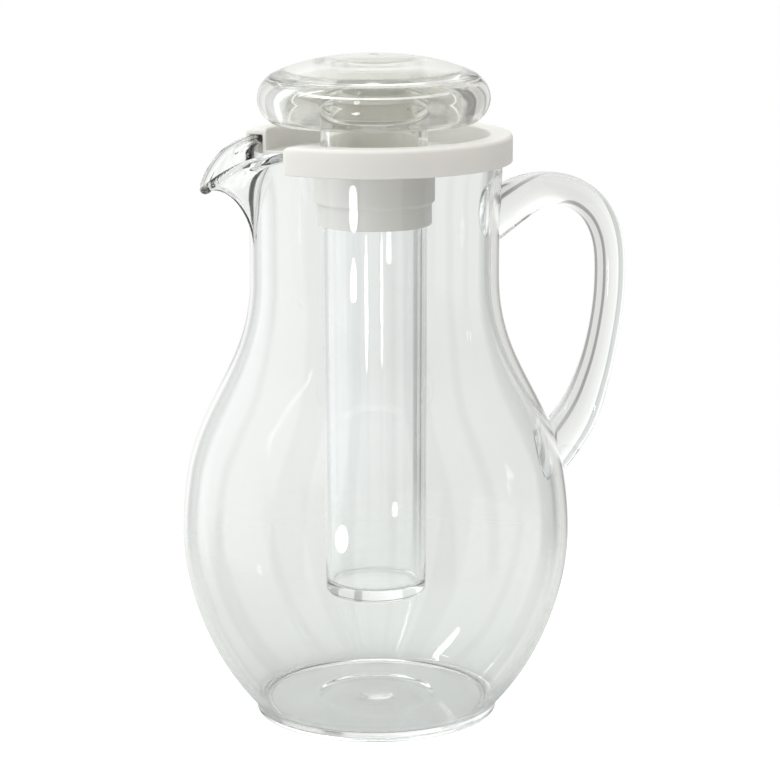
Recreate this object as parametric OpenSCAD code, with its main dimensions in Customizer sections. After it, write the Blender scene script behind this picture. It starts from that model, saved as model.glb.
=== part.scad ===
// Clear pitcher with an ice core: a bulbous jug with a drawn-out pouring lip and a bonded
// rod handle, a white collar that clips over the rim, a closed ice tube that hangs in the
// collar's socket, and a hollow lid whose stem plugs the socket and seals the tube.
// Millimetres. Z points up, the origin is the centre of the foot, the lip points along -X
// and the handle along +X.

/* [Jug] */
// Outer diameter of the belly at its widest
belly_d = 150; // [140:1:160]
// Height of the widest point of the belly
belly_z = 72; // [66:1:78]
// Outer diameter of the straight neck
neck_d = 95.2; // [92:0.2:97]
// Height where the shoulder has become the straight neck
neck_z = 172; // [166:1:176]
// Height of the rim's top edge
mouth_z = 223.7; // [223:0.1:223.8]
// Widening of the neck's radius just below the rim
mouth_flare = 1.2; // [0.6:0.1:1.4]
// Wall thickness of the blown body
wall = 2.6; // [2.2:0.1:3]
// Thickness of the rounded rim bead
rim_t = 3.2; // [3:0.1:3.4]

/* [Foot] */
// Outer diameter of the short upright foot
foot_d = 94; // [90:1:95]
// Height of the upright part of the foot
foot_h = 4; // [3:0.5:5]
// Thickness of the floor
floor_t = 4.3; // [3.6:0.1:5]
// Radius of the shallow moulded dish in the middle of the floor
dish_r = 22.5; // [18:0.5:26]
// Radius of the moulding gate's round pip
gate_r = 6.5; // [5:0.5:8]

/* [Lip] */
// How far the lip's tip stands out from the rim's circle
lip_reach = 18.4; // [16:0.2:20]
// Drop of the tip below the rim
lip_drop = 14.6; // [12:0.1:16]
// Half of the angle that the lip takes up on the rim
lip_half = 36; // [33:1:38]
// Height where the lip's keel leaves the neck
keel_z = 187; // [184:1:190]

/* [Handle] */
// Thickness of the handle rod where it is slimmest
rod_t = 11.8; // [10:0.2:13]
// Width of the handle rod across the grip
rod_w = 15; // [13:0.5:16]
// Extra thickness where the rod is bonded to the neck and to the belly
rod_swell = 7; // [5:0.5:8]

/* [Collar] */
// Outer diameter of the collar ring
collar_d = 105; // [104.8:0.1:105.6]
// Height of the collar ring's bottom edge
collar_z = 215.6; // [215:0.1:216]
// Height of the collar ring
collar_h = 10.6; // [10.4:0.1:10.8]
// Half of the angle that is left open for pouring
gap_half = 35; // [33:1:38]
// Thickness of the web that carries the socket
web_t = 2.2; // [1.8:0.1:2.6]
// Outer radius of the socket's upper step
socket_r = 23.1; // [22.9:0.1:23.4]
// Outer radius of the socket's lower step
socket_low_r = 21.9; // [21.7:0.1:22.1]
// Height of the socket's bottom edge
socket_z = 191.8; // [190:0.2:194]

/* [Ice tube] */
// Outer radius of the tube below its flange
tube_r = 20.2; // [20:0.05:20.3]
// Draft of the tube: how much smaller its radius is at the bottom
tube_draft = 0.75; // [0.4:0.05:0.9]
// Wall thickness of the tube
tube_wall = 2.4; // [2:0.1:2.8]
// Height of the tube's closed end
tube_z = 46.6; // [40:0.2:60]
// Thickness of the closed end
tube_floor_t = 4.3; // [3:0.1:5]

/* [Lid] */
// Height of the lid's flat underside
lid_z = 230.8; // [230:0.1:231.5]
// Radius of the round bulge of the lid's side
bulge_r = 10; // [9.5:0.1:10.5]
// Distance of the bulge's centre from the axis
bulge_x = 34.1; // [33.8:0.1:34.6]
// Height of the bulge's centre
bulge_z = 239.5; // [239:0.1:240]
// Radius of the straight cavity inside the lid
cavity_r = 36.4; // [35:0.1:36.8]
// Outer radius of the lid's stem
stem_r = 20.4; // [20.2:0.05:20.6]
// Radius of the stem's bore
bore_r = 17; // [16.8:0.1:17.2]
// Height of the domed top
lid_top_z = 255.9; // [255:0.1:257]

/* [Hidden] */

ROUND_FN = 96;

belly_r = belly_d / 2;
neck_r = neck_d / 2;
foot_r = foot_d / 2;
mouth_r = neck_r + mouth_flare;

// Bezier handles of the body's outline: how far each one reaches from its end point
foot_turn = [21, 22];
belly_down = 16;
belly_up = 52.6;
neck_down = 41.4;

function bezier(a, b, c, d, t) =
    pow(1 - t, 3) * a + 3 * pow(1 - t, 2) * t * b + 3 * (1 - t) * t * t * c + pow(t, 3) * d;
function unit(v) = v / norm(v);
function left_of(v) = [-v[1], v[0]];
function mix(a, b, t) = a + (b - a) * t;
function smooth(t) = let(u = min(1, max(0, t))) u * u * (3 - 2 * u);

// Outline of the body from the top of the foot to the straight neck, as [radius, height]
FOOT_TOP = [foot_r + 0.6, foot_h];
BELLY = [belly_r, belly_z];
NECK = [neck_r, neck_z];
BELLY_STEPS = 12;
SHOULDER_STEPS = 18;
function belly_at(t) =
    bezier(FOOT_TOP, FOOT_TOP + foot_turn, BELLY - [0, belly_down], BELLY, t);
function shoulder_at(t) =
    bezier(BELLY, BELLY + [0, belly_up], NECK - [0, neck_down], NECK, t);
BODY = concat(
    [for (i = [0:BELLY_STEPS - 1]) belly_at(i / BELLY_STEPS)],
    [for (i = [0:SHOULDER_STEPS]) shoulder_at(i / SHOULDER_STEPS)]);

// The inner outline lies one wall inside the outer one, square to it
function heading(line, i) =
    unit(line[min(i + 1, len(line) - 1)] - line[max(i - 1, 0)]);
BODY_IN = [for (i = [2:len(BODY) - 1]) BODY[i] + wall * left_of(heading(BODY, i))];

// Underside and floor
REST_W = 3.6;
RECESS = 1;
FOOT_EASE = 0.6;
floor_r = foot_r - 2.1;
UNDERSIDE = [
    [foot_r - REST_W - 1.2, RECESS],
    [foot_r - REST_W, 0],
    [foot_r - FOOT_EASE, 0],
    [foot_r, FOOT_EASE]];
FLOOR = [
    [floor_r, floor_t + 4.4],
    [floor_r - 0.5, floor_t + 1.6],
    [floor_r - 1.8, floor_t],
    [dish_r, floor_t],
    [dish_r - 1, floor_t - 0.8],
    [gate_r + 3, floor_t - 0.2],
    [gate_r, floor_t + 0.2],
    [gate_r - 1.4, floor_t + 1]];

// Lip: around the rim, a is the angle away from the lip's middle. lip_share falls from 1 at
// the tip to 0 at the lip's ends, with a soft nose.
NOSE = 0.07;
function lip_share(a) =
    let(t = min(1, abs(a) / lip_half))
    1 - (sqrt(t * t + NOSE * NOSE) - NOSE) / (sqrt(1 + NOSE * NOSE) - NOSE);

// Middle of the rim's bead, and the way in which the wall runs into it: straight up on the
// plain rim, over and down at the tip
LIP_FALL = 2.05;
TIP_LEAN = 93;
function rim_at(a) = [
    mouth_r - rim_t / 2 + lip_reach * lip_share(a),
    mouth_z - rim_t / 2 - lip_drop * pow(lip_share(a), LIP_FALL)];
function rim_way(a) = let(lean = TIP_LEAN * lip_share(a)) [sin(lean), cos(lean)];

// The bead grows a little towards the tip. There it is rolled outwards, so that it stands out
// below the lip's wall. q is the angle round the bead, from the wall's outer side over its top.
BEAD_GROWTH = 0.3;
BEAD_ROLL = 70;
function bead_r(a) = rim_t / 2 + BEAD_GROWTH * lip_share(a);
function bead_start(a) = -BEAD_ROLL * lip_share(a);
function bead_at(a, q) =
    rim_at(a) + bead_r(a) * (sin(q) * rim_way(a) - cos(q) * left_of(rim_way(a)));
function neck_at(z) = neck_r + mouth_flare * smooth((z - (mouth_z - 28)) / 20);
CREASE_CURVE = 2.1;
SHORTEST_LIP = 2.4;
function crease_z(a) =
    let(t = min(1, abs(a) / lip_half))
    let(up = 1 - pow(1 - t, CREASE_CURVE))
    min(mix(keel_z, mouth_z - 1, up), rim_at(a)[1] - SHORTEST_LIP);

// Outer side of the lip, from the crease on the neck to the bead. It leaves the neck smoothly
// at the keel and with a fold beside it.
LIP_PULL = 0.2;
TIP_PULL = 0.42;
FOLD = 0.6;
function lip_at(a, s) =
    let(start = [neck_at(crease_z(a)), crease_z(a)])
    let(end = bead_at(a, bead_start(a)), far = norm(end - start))
    let(leave = unit(mix([0, 1], unit(end - start), FOLD * (1 - lip_share(a)))))
    bezier(start, start + LIP_PULL * far * leave, end - TIP_PULL * far * rim_way(a), end, s);
LIP_STEPS = 8;
RIM_STEPS = 5;
STEP_BACK = 0.02;
function lip_heading(a, s) =
    unit(lip_at(a, min(1, s + STEP_BACK)) - lip_at(a, max(0, s - STEP_BACK)));
function lip_wall(a, s) = mix(wall, bead_r(a) * (1 + cos(bead_start(a))), s * s);
function lip_in_at(a, s) = lip_at(a, s) + lip_wall(a, s) * left_of(lip_heading(a, s));

// One upright section of the neck and its lip at angle a: up the outside from inside the
// blown body's wall, over the rim bead and down the inside
NECK_STEPS = 3;
ROOT_DEPTH = 2;
ROOT_INSET = 0.12;
function neck_line(a, side) = concat(
    [for (z = [neck_z - ROOT_DEPTH, neck_z + 0.2]) [root_r(side), z]],
    [for (i = [1:NECK_STEPS - 1])
        let(z = mix(neck_z, crease_z(a), i / NECK_STEPS))
        [neck_at(z) - (side < 0 ? wall : 0), z]]);
function root_r(side) = side < 0 ? neck_r - wall + ROOT_INSET : neck_r - ROOT_INSET;
function section(a) =
    let(neck_in = neck_line(a, -1))
    concat(
        neck_line(a, 1),
        [for (i = [0:LIP_STEPS]) lip_at(a, i / LIP_STEPS)],
        [for (i = [1:RIM_STEPS - 1]) bead_at(a, mix(bead_start(a), 180, i / RIM_STEPS))],
        [for (i = [LIP_STEPS:-1:0]) lip_in_at(a, i / LIP_STEPS)],
        [for (i = [len(neck_in) - 1:-1:0]) neck_in[i]]);

// Angles of the sections: close together at the tip, wider round the back
LIP_SIDE = 12;
BACK_STEPS = 44;
back_start = lip_half + 2;
angles = concat(
    [for (i = [-LIP_SIDE:LIP_SIDE]) sign(i) * back_start * pow(abs(i) / LIP_SIDE, 1.35)],
    [for (i = [1:BACK_STEPS - 1]) back_start + (360 - 2 * back_start) * i / BACK_STEPS]);

module neck_and_lip() {
    sections = [for (a = angles) section(a > 180 ? a - 360 : a)];
    rows = len(sections[0]);
    count = len(angles);
    points = [for (j = [0:count - 1]) for (p = sections[j])
        [-p[0] * cos(angles[j]), -p[0] * sin(angles[j]), p[1]]];
    skin = [for (j = [0:count - 1]) for (i = [0:rows - 1])
        let(k = (j + 1) % count, m = (i + 1) % rows)
        let(a = j * rows + i, b = k * rows + i, c = j * rows + m, d = k * rows + m)
        each [[a, c, b], [b, c, d]]];
    polyhedron(points, skin, convexity = 8);
}

module blown_body() {
    rotate_extrude($fn = ROUND_FN)
        polygon(concat(
            [[0, RECESS]],
            UNDERSIDE,
            BODY,
            [for (i = [len(BODY_IN) - 1:-1:0]) BODY_IN[i]],
            FLOOR,
            [[0, floor_t + 1]]));
}

module jug_body() {
    color([0.86, 0.92, 0.91, 0.45]) {
        blown_body();
        neck_and_lip();
    }
}

// Handle: the middle line of the bent rod, as [distance from the axis, height]
ROD_LINE = [
    [neck_r - 3, 191], [58.5, 199.2], [69, 202.2], [79.5, 200.4], [89, 193.2],
    [94.6, 181], [95.6, 164], [93.6, 146], [89, 127], [81.5, 110], [belly_r - 9, 91]];
ROD_SIDES = 16;
ROD_SPAN = 5;
spans = len(ROD_LINE) - 1;
function rod_point(i) = ROD_LINE[min(spans, max(0, i))];
// Smooth curve through the points of the middle line
function rod_at(t) =
    let(i = min(spans - 1, floor(t)), u = t - i)
    let(a = rod_point(i - 1), b = rod_point(i), c = rod_point(i + 1), d = rod_point(i + 2))
    0.5 * (2 * b + (c - a) * u + (2 * a - 5 * b + 4 * c - d) * u * u
        + (3 * b - 3 * c + d - a) * pow(u, 3));
function rod_heading(t) =
    unit(rod_at(min(spans, t + STEP_BACK)) - rod_at(max(0, t - STEP_BACK)));
// The rod swells towards both bonded ends
function rod_depth(t) =
    rod_t + rod_swell * pow(1 - smooth(t / 3.2), 1.5)
        + rod_swell * pow(1 - smooth((spans - t) / 3.6), 1.5);
function rod_width(t) =
    rod_w - 1.5 * smooth(t / 3) * smooth((spans - t) / 3)
        + 0.35 * rod_swell * (1 - smooth((spans - t) / 3));
function rod_ring(t) =
    let(m = rod_at(t), n = left_of(rod_heading(t)))
    [for (k = [0:ROD_SIDES - 1])
        let(q = 360 * k / ROD_SIDES, d = rod_depth(t) / 2 * cos(q), w = rod_width(t) / 2 * sin(q))
        [m[0] + n[0] * d, w, m[1] + n[1] * d]];

module jug_form() {
    rotate_extrude($fn = ROUND_FN)
        polygon(concat([[0, 0]], [[foot_r, 0]], BODY, [[neck_r, keel_z], [neck_r, mouth_z], [0, mouth_z]]));
}

module handle() {
    rings = [for (i = [0:spans * ROD_SPAN]) rod_ring(i / ROD_SPAN)];
    last = len(rings) - 1;
    points = [for (r = rings) for (p = r) p];
    sides = [for (i = [0:last - 1]) for (k = [0:ROD_SIDES - 1])
        let(m = (k + 1) % ROD_SIDES, a = i * ROD_SIDES, b = a + ROD_SIDES)
        each [[a + k, a + m, b + k], [b + k, a + m, b + m]]];
    caps = [
        [for (k = [ROD_SIDES - 1:-1:0]) k],
        [for (k = [0:ROD_SIDES - 1]) last * ROD_SIDES + k]];
    color([0.84, 0.9, 0.9, 0.5]) difference() {
        polyhedron(points, concat(sides, caps), convexity = 4);
        jug_form();
    }
}

// Collar: an upside-down channel over the rim, a web below it and a stepped socket
RING_WALL = 1.9;
RING_TOP_T = 2.4;
CHANNEL_R = 45.35;
INNER_WALL = 1.45;
EDGE = 1.4;
collar_r = collar_d / 2;
collar_top = collar_z + collar_h;
ledge_z = 202;
step_z = 200.3;
SOCKET_BORE = 21.6;
TUBE_BORE = tube_r + 0.35;
SOCKET_TOP = collar_z + web_t + 1.6;
// The web is cut away inside the pouring gap as far as this radius
BAY_R = socket_r + 4.5;

module collar() {
    color([0.9, 0.89, 0.87]) {
        difference() {
            union() {
                rotate_extrude($fn = ROUND_FN) {
                    difference() {
                        translate([CHANNEL_R - INNER_WALL, collar_z])
                            square([collar_r - CHANNEL_R + INNER_WALL, collar_h]);
                        translate([CHANNEL_R, collar_z - 1])
                            square([collar_r - RING_WALL - CHANNEL_R, collar_h + 1 - RING_TOP_T]);
                        edge_cutter([collar_r, collar_top], EDGE, 1);
                        edge_cutter([CHANNEL_R - INNER_WALL, collar_top], EDGE / 2, -1);
                    }
                }
                rotate_extrude($fn = ROUND_FN)
                    translate([socket_r - 1, collar_z])
                        square([CHANNEL_R - INNER_WALL / 2 - socket_r + 1, web_t]);
            }
            pouring_gap();
        }
        rotate_extrude($fn = ROUND_FN)
            polygon([
                [SOCKET_BORE, ledge_z], [TUBE_BORE, ledge_z], [TUBE_BORE, socket_z],
                [socket_low_r - 0.7, socket_z], [socket_low_r, socket_z + 0.7],
                [socket_low_r, step_z - 0.6], [socket_r, step_z + 0.6],
                [socket_r, SOCKET_TOP], [SOCKET_BORE, SOCKET_TOP]]);
    }
}

// Square with a round bite, which leaves an outer corner rounded; side is 1 for an outer
// edge and -1 for an inner one
module edge_cutter(corner, r, side) {
    translate(corner) mirror([side < 0 ? 1 : 0, 0]) difference() {
        translate([-r, -r]) square(r + 1);
        translate([-r, -r]) circle(r, $fn = 24);
    }
}

// Wedge that opens the ring towards the lip, from the bay in the web outwards
module pouring_gap() {
    far = collar_r + 10;
    difference() {
        translate([0, 0, collar_z - 1])
            linear_extrude(collar_h + 2)
                polygon([[0, 0],
                    [-far * cos(gap_half), far * sin(gap_half)],
                    [-far * 1.6, 0],
                    [-far * cos(gap_half), -far * sin(gap_half)]]);
        translate([0, 0, collar_z - 2]) cylinder(r = BAY_R, h = collar_h + 4, $fn = ROUND_FN);
    }
}

// Ice tube
FLANGE_R = SOCKET_BORE - 0.35;
FLANGE_T = 2.4;
SEAT_GAP = 0.1;
FLANGE_Z = ledge_z + SEAT_GAP;
MOUTH_TOP = FLANGE_Z + FLANGE_T;
TUBE_EDGE = 1.6;
module ice_tube() {
    low_r = tube_r - tube_draft;
    color([0.88, 0.93, 0.94, 0.5])
        rotate_extrude($fn = ROUND_FN)
            polygon([
                [0, tube_z], [low_r - TUBE_EDGE, tube_z], [low_r - 0.4, tube_z + 0.5],
                [low_r, tube_z + TUBE_EDGE], [tube_r, FLANGE_Z], [FLANGE_R, FLANGE_Z],
                [FLANGE_R, MOUTH_TOP], [tube_r - tube_wall, MOUTH_TOP],
                [low_r - tube_wall, tube_z + tube_floor_t + TUBE_EDGE],
                [low_r - tube_wall - 0.4, tube_z + tube_floor_t + 0.5],
                [low_r - tube_wall - TUBE_EDGE, tube_z + tube_floor_t],
                [0, tube_z + tube_floor_t]]);
}

// Lid
SHOULDER_Z = 247.4;
CAVITY_FLOOR = lid_z + 4;
STEM_TOP = 250.4;
SPIGOT_R = 19.3;
SPIGOT_Z = 209.2;
STEM_END = 205.7;
BULGE_STEPS = 20;
function bulge_angle(z) = asin((z - bulge_z) / bulge_r);
module lid_bowl() {
    low = bulge_angle(lid_z);
    high = bulge_angle(SHOULDER_Z);
    bulge = [for (i = [0:BULGE_STEPS])
        let(q = mix(low, high, i / BULGE_STEPS))
        [bulge_x + bulge_r * cos(q), bulge_z + bulge_r * sin(q)]];
    color([0.85, 0.88, 0.86, 0.5])
        rotate_extrude($fn = ROUND_FN)
            polygon(concat(
                [[bore_r, STEM_END], [SPIGOT_R, STEM_END], [SPIGOT_R, SPIGOT_Z],
                    [stem_r, SPIGOT_Z], [stem_r, lid_z - 1.2], [stem_r + 1.2, lid_z]],
                bulge,
                [[cavity_r, SHOULDER_Z], [cavity_r, CAVITY_FLOOR + 1],
                    [cavity_r - 1, CAVITY_FLOOR], [stem_r + 1, CAVITY_FLOOR],
                    [stem_r, CAVITY_FLOOR + 1], [stem_r, STEM_TOP], [bore_r, STEM_TOP]]));
}

CAP_R = 39.6;
CAP_EDGE_Z = 248;
CAP_T = 3;
SKIRT_T = 3;
SKIRT_Z = 241.5;
DOME_A = 46;
DOME_STEPS = 16;
SEAT_R = stem_r + 1.6;
// Small round mark that the moulding gate leaves in the middle of the top
MARK_R = 2;
MARK_DEPTH = 0.3;
// Height of the dome at radius r, an ellipse through the cap's edge and the lid's top
dome_drop = 1 - sqrt(1 - pow(CAP_R / DOME_A, 2));
dome_b = (lid_top_z - CAP_EDGE_Z) / dome_drop;
function dome_z(r) = lid_top_z - dome_b * (1 - sqrt(1 - pow(r / DOME_A, 2)));
module lid_cap() {
    skirt_r = cavity_r - 0.1;
    skirt_in = skirt_r - SKIRT_T;
    outer = [for (i = [1:DOME_STEPS]) let(r = CAP_R * i / DOME_STEPS) [r, dome_z(r)]];
    inner = [for (i = [DOME_STEPS:-1:0])
        let(r = mix(SEAT_R, skirt_in, i / DOME_STEPS)) [r, dome_z(r) - CAP_T]];
    color([0.87, 0.9, 0.88, 0.5])
        rotate_extrude($fn = ROUND_FN)
            polygon(concat(
                [[0, lid_top_z - MARK_DEPTH], [MARK_R - 0.4, lid_top_z - MARK_DEPTH],
                    [MARK_R, dome_z(MARK_R)]],
                outer,
                [[CAP_R, SHOULDER_Z], [skirt_r, SHOULDER_Z], [skirt_r, SKIRT_Z + 0.5],
                    [skirt_r - 0.5, SKIRT_Z], [skirt_in, SKIRT_Z]],
                inner,
                [[SEAT_R, STEM_TOP], [bore_r - 0.8, STEM_TOP],
                    [bore_r - 1.6, dome_z(bore_r) - CAP_T], [0, lid_top_z - CAP_T]]));
}

// Soft ring on the stem's spigot: its foot presses on the tube's flange
SEAL_R = SOCKET_BORE - 0.06;
SEAL_Z = MOUTH_TOP + SEAT_GAP;
module lid_seal() {
    color([0.93, 0.93, 0.92])
        rotate_extrude($fn = ROUND_FN)
            polygon([
                [bore_r + 0.2, SEAL_Z], [SEAL_R - 0.6, SEAL_Z], [SEAL_R - 0.4, SEAL_Z + 0.8],
                [SEAL_R, SEAL_Z + 1.3], [SEAL_R - 0.4, SEAL_Z + 1.8],
                [SEAL_R - 0.4, SEAL_Z + 2.8], [SEAL_R, SEAL_Z + 3.3],
                [SEAL_R - 0.4, SEAL_Z + 3.8], [SEAL_R - 0.4, SPIGOT_Z],
                [SPIGOT_R, SPIGOT_Z], [SPIGOT_R, STEM_END], [bore_r + 0.2, STEM_END]]);
}

jug_body();
handle();
collar();
ice_tube();
lid_bowl();
lid_cap();
lid_seal();
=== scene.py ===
"""Clear pitcher with an ice core: a blown jug with a drawn lip and a bonded rod handle, a white
collar over its rim, an ice tube in the collar's socket and a thick hollow lid.

Every piece is a smooth mesh of its real wall thickness, because light bends in each of them.
Heights and distances are metres; the jug's axis is Z and the lip points along -X.
"""

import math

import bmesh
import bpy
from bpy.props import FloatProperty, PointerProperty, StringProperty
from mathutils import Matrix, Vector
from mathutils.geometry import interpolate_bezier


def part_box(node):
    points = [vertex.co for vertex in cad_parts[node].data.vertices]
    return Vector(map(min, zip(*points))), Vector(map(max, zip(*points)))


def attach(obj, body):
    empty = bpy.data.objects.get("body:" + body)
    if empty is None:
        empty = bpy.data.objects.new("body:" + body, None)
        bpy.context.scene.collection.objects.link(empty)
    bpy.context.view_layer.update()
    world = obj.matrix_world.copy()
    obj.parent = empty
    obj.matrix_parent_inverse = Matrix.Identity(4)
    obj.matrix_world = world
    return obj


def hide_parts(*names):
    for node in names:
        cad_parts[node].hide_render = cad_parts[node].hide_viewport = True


bl_info = {
    "name": "Clear Pitcher with Ice Core",
    "version": (1, 0, 0),
    "blender": (4, 5, 0),
    "location": "View3D > Sidebar > Pitcher",
    "description": "Builds a clear plastic pitcher with its collar, ice tube and lid",
    "category": "Add Mesh",
}

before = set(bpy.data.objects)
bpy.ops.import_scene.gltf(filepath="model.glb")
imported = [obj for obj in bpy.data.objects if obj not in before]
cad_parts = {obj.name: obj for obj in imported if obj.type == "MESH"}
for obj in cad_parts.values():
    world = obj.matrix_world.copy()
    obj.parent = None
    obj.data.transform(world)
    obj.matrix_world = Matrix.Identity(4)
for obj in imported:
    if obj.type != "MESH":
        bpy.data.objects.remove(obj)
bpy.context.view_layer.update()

MM = 0.001
JUG_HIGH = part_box("jug_body")[1]
HANDLE_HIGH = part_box("handle")[1]
COLLAR_LOW, COLLAR_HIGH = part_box("collar")
TUBE_LOW, TUBE_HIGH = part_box("ice_tube")
BOWL_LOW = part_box("lid_bowl")[0]
CAP_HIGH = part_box("lid_cap")[1]
SEAL_LOW, SEAL_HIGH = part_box("lid_seal")

# Air left between two separate clear pieces that touch, so that neither cuts into the other
SEAM = 0.04 * MM


def length(name, description, default):
    """A size in metres that a user can change."""
    return FloatProperty(name=name, description=description, default=default, unit="LENGTH", precision=4)


def angle(name, description, degrees):
    """An angle that a user can change."""
    return FloatProperty(name=name, description=description, default=math.radians(degrees), subtype="ANGLE")


def colour(name, description, default):
    """A colour as an sRGB hex value."""
    return StringProperty(name=name, description=description, default=default)


class JugSizes(bpy.types.PropertyGroup):
    belly_r: length("Belly radius", "Outer radius of the belly", JUG_HIGH.y)
    belly_z: length("Belly height", "Height of the widest point", 72 * MM)
    neck_r: length("Neck radius", "Outer radius of the straight neck", 47.6 * MM)
    neck_z: length("Neck height", "Height where the neck becomes straight", 172 * MM)
    mouth_z: length("Mouth height", "Height of the rim's top edge", JUG_HIGH.z)
    mouth_flare: length("Mouth flare", "Widening of the neck below the rim", 1.2 * MM)
    wall: length("Wall", "Wall thickness of the blown body", 2.6 * MM)
    rim_t: length("Rim bead", "Thickness of the rounded rim", 3.2 * MM)
    foot_r: length("Foot radius", "Outer radius of the upright foot", 47 * MM)
    foot_h: length("Foot height", "Height of the upright foot", 4 * MM)
    floor_t: length("Floor", "Thickness of the floor", 4.3 * MM)
    dish_r: length("Dish radius", "Radius of the shallow dish in the floor", 22.5 * MM)
    gate_r: length("Gate radius", "Radius of the moulding gate's round pip", 6.5 * MM)


class LipSizes(bpy.types.PropertyGroup):
    reach: length("Reach", "How far the tip stands out from the rim's circle", 18.4 * MM)
    drop: length("Drop", "Drop of the tip below the rim", 14.6 * MM)
    half: angle("Half angle", "Half of the angle that the lip takes up", 36)
    keel_z: length("Keel height", "Height where the keel leaves the neck", 187 * MM)


class HandleSizes(bpy.types.PropertyGroup):
    depth: length("Depth", "Thickness of the rod where it is slimmest", 11.8 * MM)
    width: length("Width", "Width of the rod at its top bond", 15 * MM)
    swell: length("Swell", "Extra thickness at both bonded ends", 7 * MM)


class CollarSizes(bpy.types.PropertyGroup):
    outer_r: length("Outer radius", "Outer radius of the ring", COLLAR_HIGH.x)
    ring_z: length("Ring height", "Height of the ring's bottom edge", 215.6 * MM)
    web_t: length("Web", "Thickness of the web that carries the socket", 2.2 * MM)
    socket_r: length("Socket radius", "Outer radius of the socket's upper step", 23.1 * MM)
    socket_low_r: length("Lower radius", "Outer radius of the socket's lower step", 21.9 * MM)
    gap_half: angle("Half gap", "Half of the angle left open for pouring", 35)


class TubeSizes(bpy.types.PropertyGroup):
    outer_r: length("Outer radius", "Outer radius below the flange", 20.2 * MM)
    draft: length("Draft", "How much smaller the radius is at the bottom", 0.75 * MM)
    wall: length("Wall", "Wall thickness of the tube", 2.4 * MM)
    floor_t: length("Floor", "Thickness of the closed end", 4.3 * MM)


class LidSizes(bpy.types.PropertyGroup):
    under_z: length("Underside", "Height of the flat underside", 230.8 * MM)
    bulge_r: length("Bulge", "Radius of the round side", 10 * MM)
    bulge_x: length("Bulge centre", "Distance of the round side's centre from the axis", 34.1 * MM)
    bulge_z: length("Bulge height", "Height of the round side's centre", 239.5 * MM)
    shoulder_z: length("Shoulder", "Height of the bowl's top edge", 247.4 * MM)
    cavity_r: length("Cavity", "Radius of the straight cavity", 36.4 * MM)
    stem_r: length("Stem", "Outer radius of the stem", 20.4 * MM)
    bore_r: length("Bore", "Radius of the stem's bore", 17 * MM)
    top_z: length("Top", "Height of the domed top", CAP_HIGH.z)


class Finishes(bpy.types.PropertyGroup):
    clear: colour("Clear plastic", "Tint of the clear pieces", "#FDFEFE")
    lid: colour("Lid plastic", "Tint of the thick lid", "#F3F3F0")
    collar: colour("Collar", "Milky white of the collar", "#E3E0DC")
    seal: colour("Seal", "Milky silicone of the seal", "#E4E3DF")
    floor: colour("Floor", "Pale studio floor", "#D6D6D4")


class StudioSettings(bpy.types.PropertyGroup):
    facing: angle("Camera turn", "How far the camera stands round towards the lip", 16)
    distance: length("Distance", "Level distance of the camera from the axis", 1034.6 * MM)
    height: length("Height", "Height of the camera", 352.4 * MM)
    aside: length("Aside", "How far the camera stands to the right of the axis", 5.74 * MM)
    pitch: angle("Pitch", "How far the camera looks down", 12.32)
    roll: angle("Roll", "How far the camera leans", -0.185)
    lens: FloatProperty(name="Lens", description="Focal length in millimetres", default=126.5)


def mix(a, b, t):
    return a + (b - a) * t


def smooth(t):
    """Eases t from 0 to 1, and stays there outside them."""
    t = min(1.0, max(0.0, t))
    return t * t * (3 - 2 * t)


def left_of(v):
    return Vector((-v.y, v.x))


def bend(start, leave, arrive, end, steps):
    """Points of a Bezier stretch; leave and arrive are offsets of its handles from its ends."""
    knots = [Vector(start), Vector(start) + Vector(leave), Vector(end) + Vector(arrive), Vector(end)]
    return [p.to_2d() for p in interpolate_bezier(*[k.to_3d() for k in knots], steps)]


def arc(x, z, radius, start, end, rows):
    """Points of a round stretch about a centre at x from the axis and z high."""
    turns = [mix(start, end, i / rows) for i in range(rows + 1)]
    return [(x + radius * math.cos(q), z + radius * math.sin(q)) for q in turns]


# Meshes

CORNER_STEPS = 5
# Points closer than this are merged
WELD = 1e-6


def wire(bm, points, closed):
    """A chain of edges through points, each (radius, height), in the XZ plane."""
    verts = [bm.verts.new((p[0], 0.0, p[1])) for p in points]
    pairs = zip(verts, verts[1:] + verts[:1]) if closed else zip(verts, verts[1:])
    for pair in pairs:
        bm.edges.new(pair)
    return verts


def turn_round(bm, steps, sweep=2 * math.pi):
    """Spins everything round the axis. A full turn is joined to its start."""
    bmesh.ops.spin(
        bm, geom=bm.verts[:] + bm.edges[:], cent=(0, 0, 0), axis=(0, 0, 1), angle=sweep, steps=steps,
        use_merge=sweep == 2 * math.pi, use_duplicate=False)


def weld(bm):
    """Merges doubled points, then points every face outwards."""
    bmesh.ops.remove_doubles(bm, verts=bm.verts, dist=WELD)
    bmesh.ops.recalc_face_normals(bm, faces=bm.faces)


def fill_ends(bm):
    """Fills the open ends, then points every face outwards."""
    bmesh.ops.holes_fill(bm, edges=[e for e in bm.edges if e.is_boundary], sides=0)
    bmesh.ops.recalc_face_normals(bm, faces=bm.faces)


def spun(corners, closed=True, steps=192, start=0.0, sweep=2 * math.pi):
    """A solid of revolution. Corners are (radius, height) or (radius, height, rounding). A wire
    that isn't closed starts and ends on the axis, and a part turn is left open at both ends."""
    bm = bmesh.new()
    for vert, corner in zip(wire(bm, corners, closed), corners):
        if len(corner) > 2 and corner[2] > 0:
            bmesh.ops.bevel(
                bm, geom=[vert], offset=corner[2], offset_type="OFFSET", segments=CORNER_STEPS,
                profile=0.5, affect="VERTICES", material=-1)
    bmesh.ops.rotate(bm, verts=bm.verts, cent=(0, 0, 0), matrix=Matrix.Rotation(start, 3, "Z"))
    turn_round(bm, steps, sweep)
    weld(bm)
    return bm


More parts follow.
